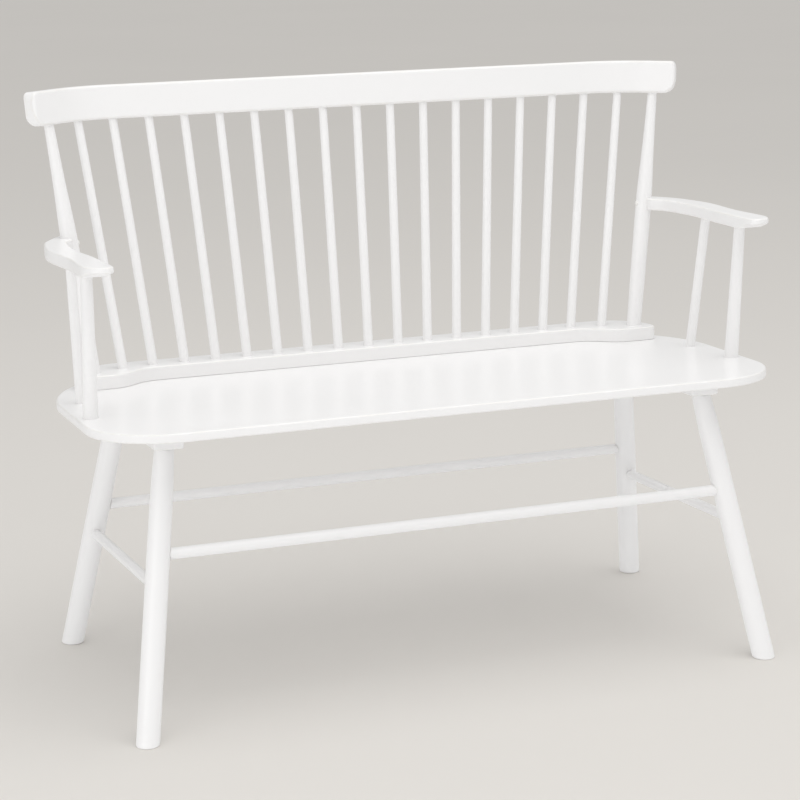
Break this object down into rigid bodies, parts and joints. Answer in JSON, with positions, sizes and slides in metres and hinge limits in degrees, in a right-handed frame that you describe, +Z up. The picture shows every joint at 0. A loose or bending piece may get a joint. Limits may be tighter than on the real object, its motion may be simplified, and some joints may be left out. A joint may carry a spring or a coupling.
{
  "type": "deacons bench",
  "caption": "Painted wooden spindle-back bench with a plank seat, bent crest rail, shaped arms and splayed round legs joined by stretchers.",
  "frame": {"origin": "on the floor, at the middle of the four feet", "axes": "+X to the right as seen from the front, +Y to the back, +Z up"},
  "size_m": [1.1178, 0.5344, 0.9156],
  "materials": {
    "white_paint": "semi-gloss white paint, brushed over smooth sanded hardwood",
    "cap_paint": "semi-gloss white paint over a turned wooden plug",
    "screw_steel": "zinc-plated steel wood screw"
  },
  "bodies": {
    "root": {"seat": "white_paint", "cleat_left": "white_paint", "cleat_right": "white_paint", "spindle_rail": "white_paint", "crest_rail": "white_paint", "leg_front_left": "white_paint", "leg_front_right": "white_paint", "leg_back_left": "white_paint", "leg_back_right": "white_paint", "stretcher_front": "white_paint", "stretcher_back": "white_paint", "stretcher_left": "white_paint", "stretcher_right": "white_paint", "end_post_left": "white_paint", "end_post_right": "white_paint", "arm_left": "white_paint", "arm_right": "white_paint", "arm_post_left": "white_paint", "arm_post_right": "white_paint", "arm_spindle_left": "white_paint", "arm_spindle_right": "white_paint", "back_spindle_01": "white_paint", "back_spindle_02": "white_paint", "back_spindle_03": "white_paint", "back_spindle_04": "white_paint", "back_spindle_05": "white_paint", "back_spindle_06": "white_paint", "back_spindle_07": "white_paint", "back_spindle_08": "white_paint", "back_spindle_09": "white_paint", "back_spindle_10": "white_paint", "back_spindle_11": "white_paint", "back_spindle_12": "white_paint", "back_spindle_13": "white_paint", "back_spindle_14": "white_paint", "back_spindle_15": "white_paint", "back_spindle_16": "white_paint", "back_spindle_17": "white_paint", "button_cap_left": "cap_paint", "button_cap_right": "cap_paint", "cleat_screw_1": "screw_steel", "cleat_screw_2": "screw_steel", "cleat_screw_3": "screw_steel", "cleat_screw_4": "screw_steel", "cleat_screw_5": "screw_steel", "cleat_screw_6": "screw_steel", "rail_screw_1": "screw_steel", "rail_screw_2": "screw_steel", "rail_screw_3": "screw_steel", "rail_screw_4": "screw_steel", "rail_screw_5": "screw_steel", "rail_screw_6": "screw_steel", "arm_screw_left": "screw_steel", "arm_screw_right": "screw_steel"}
  },
  "joints": []
}
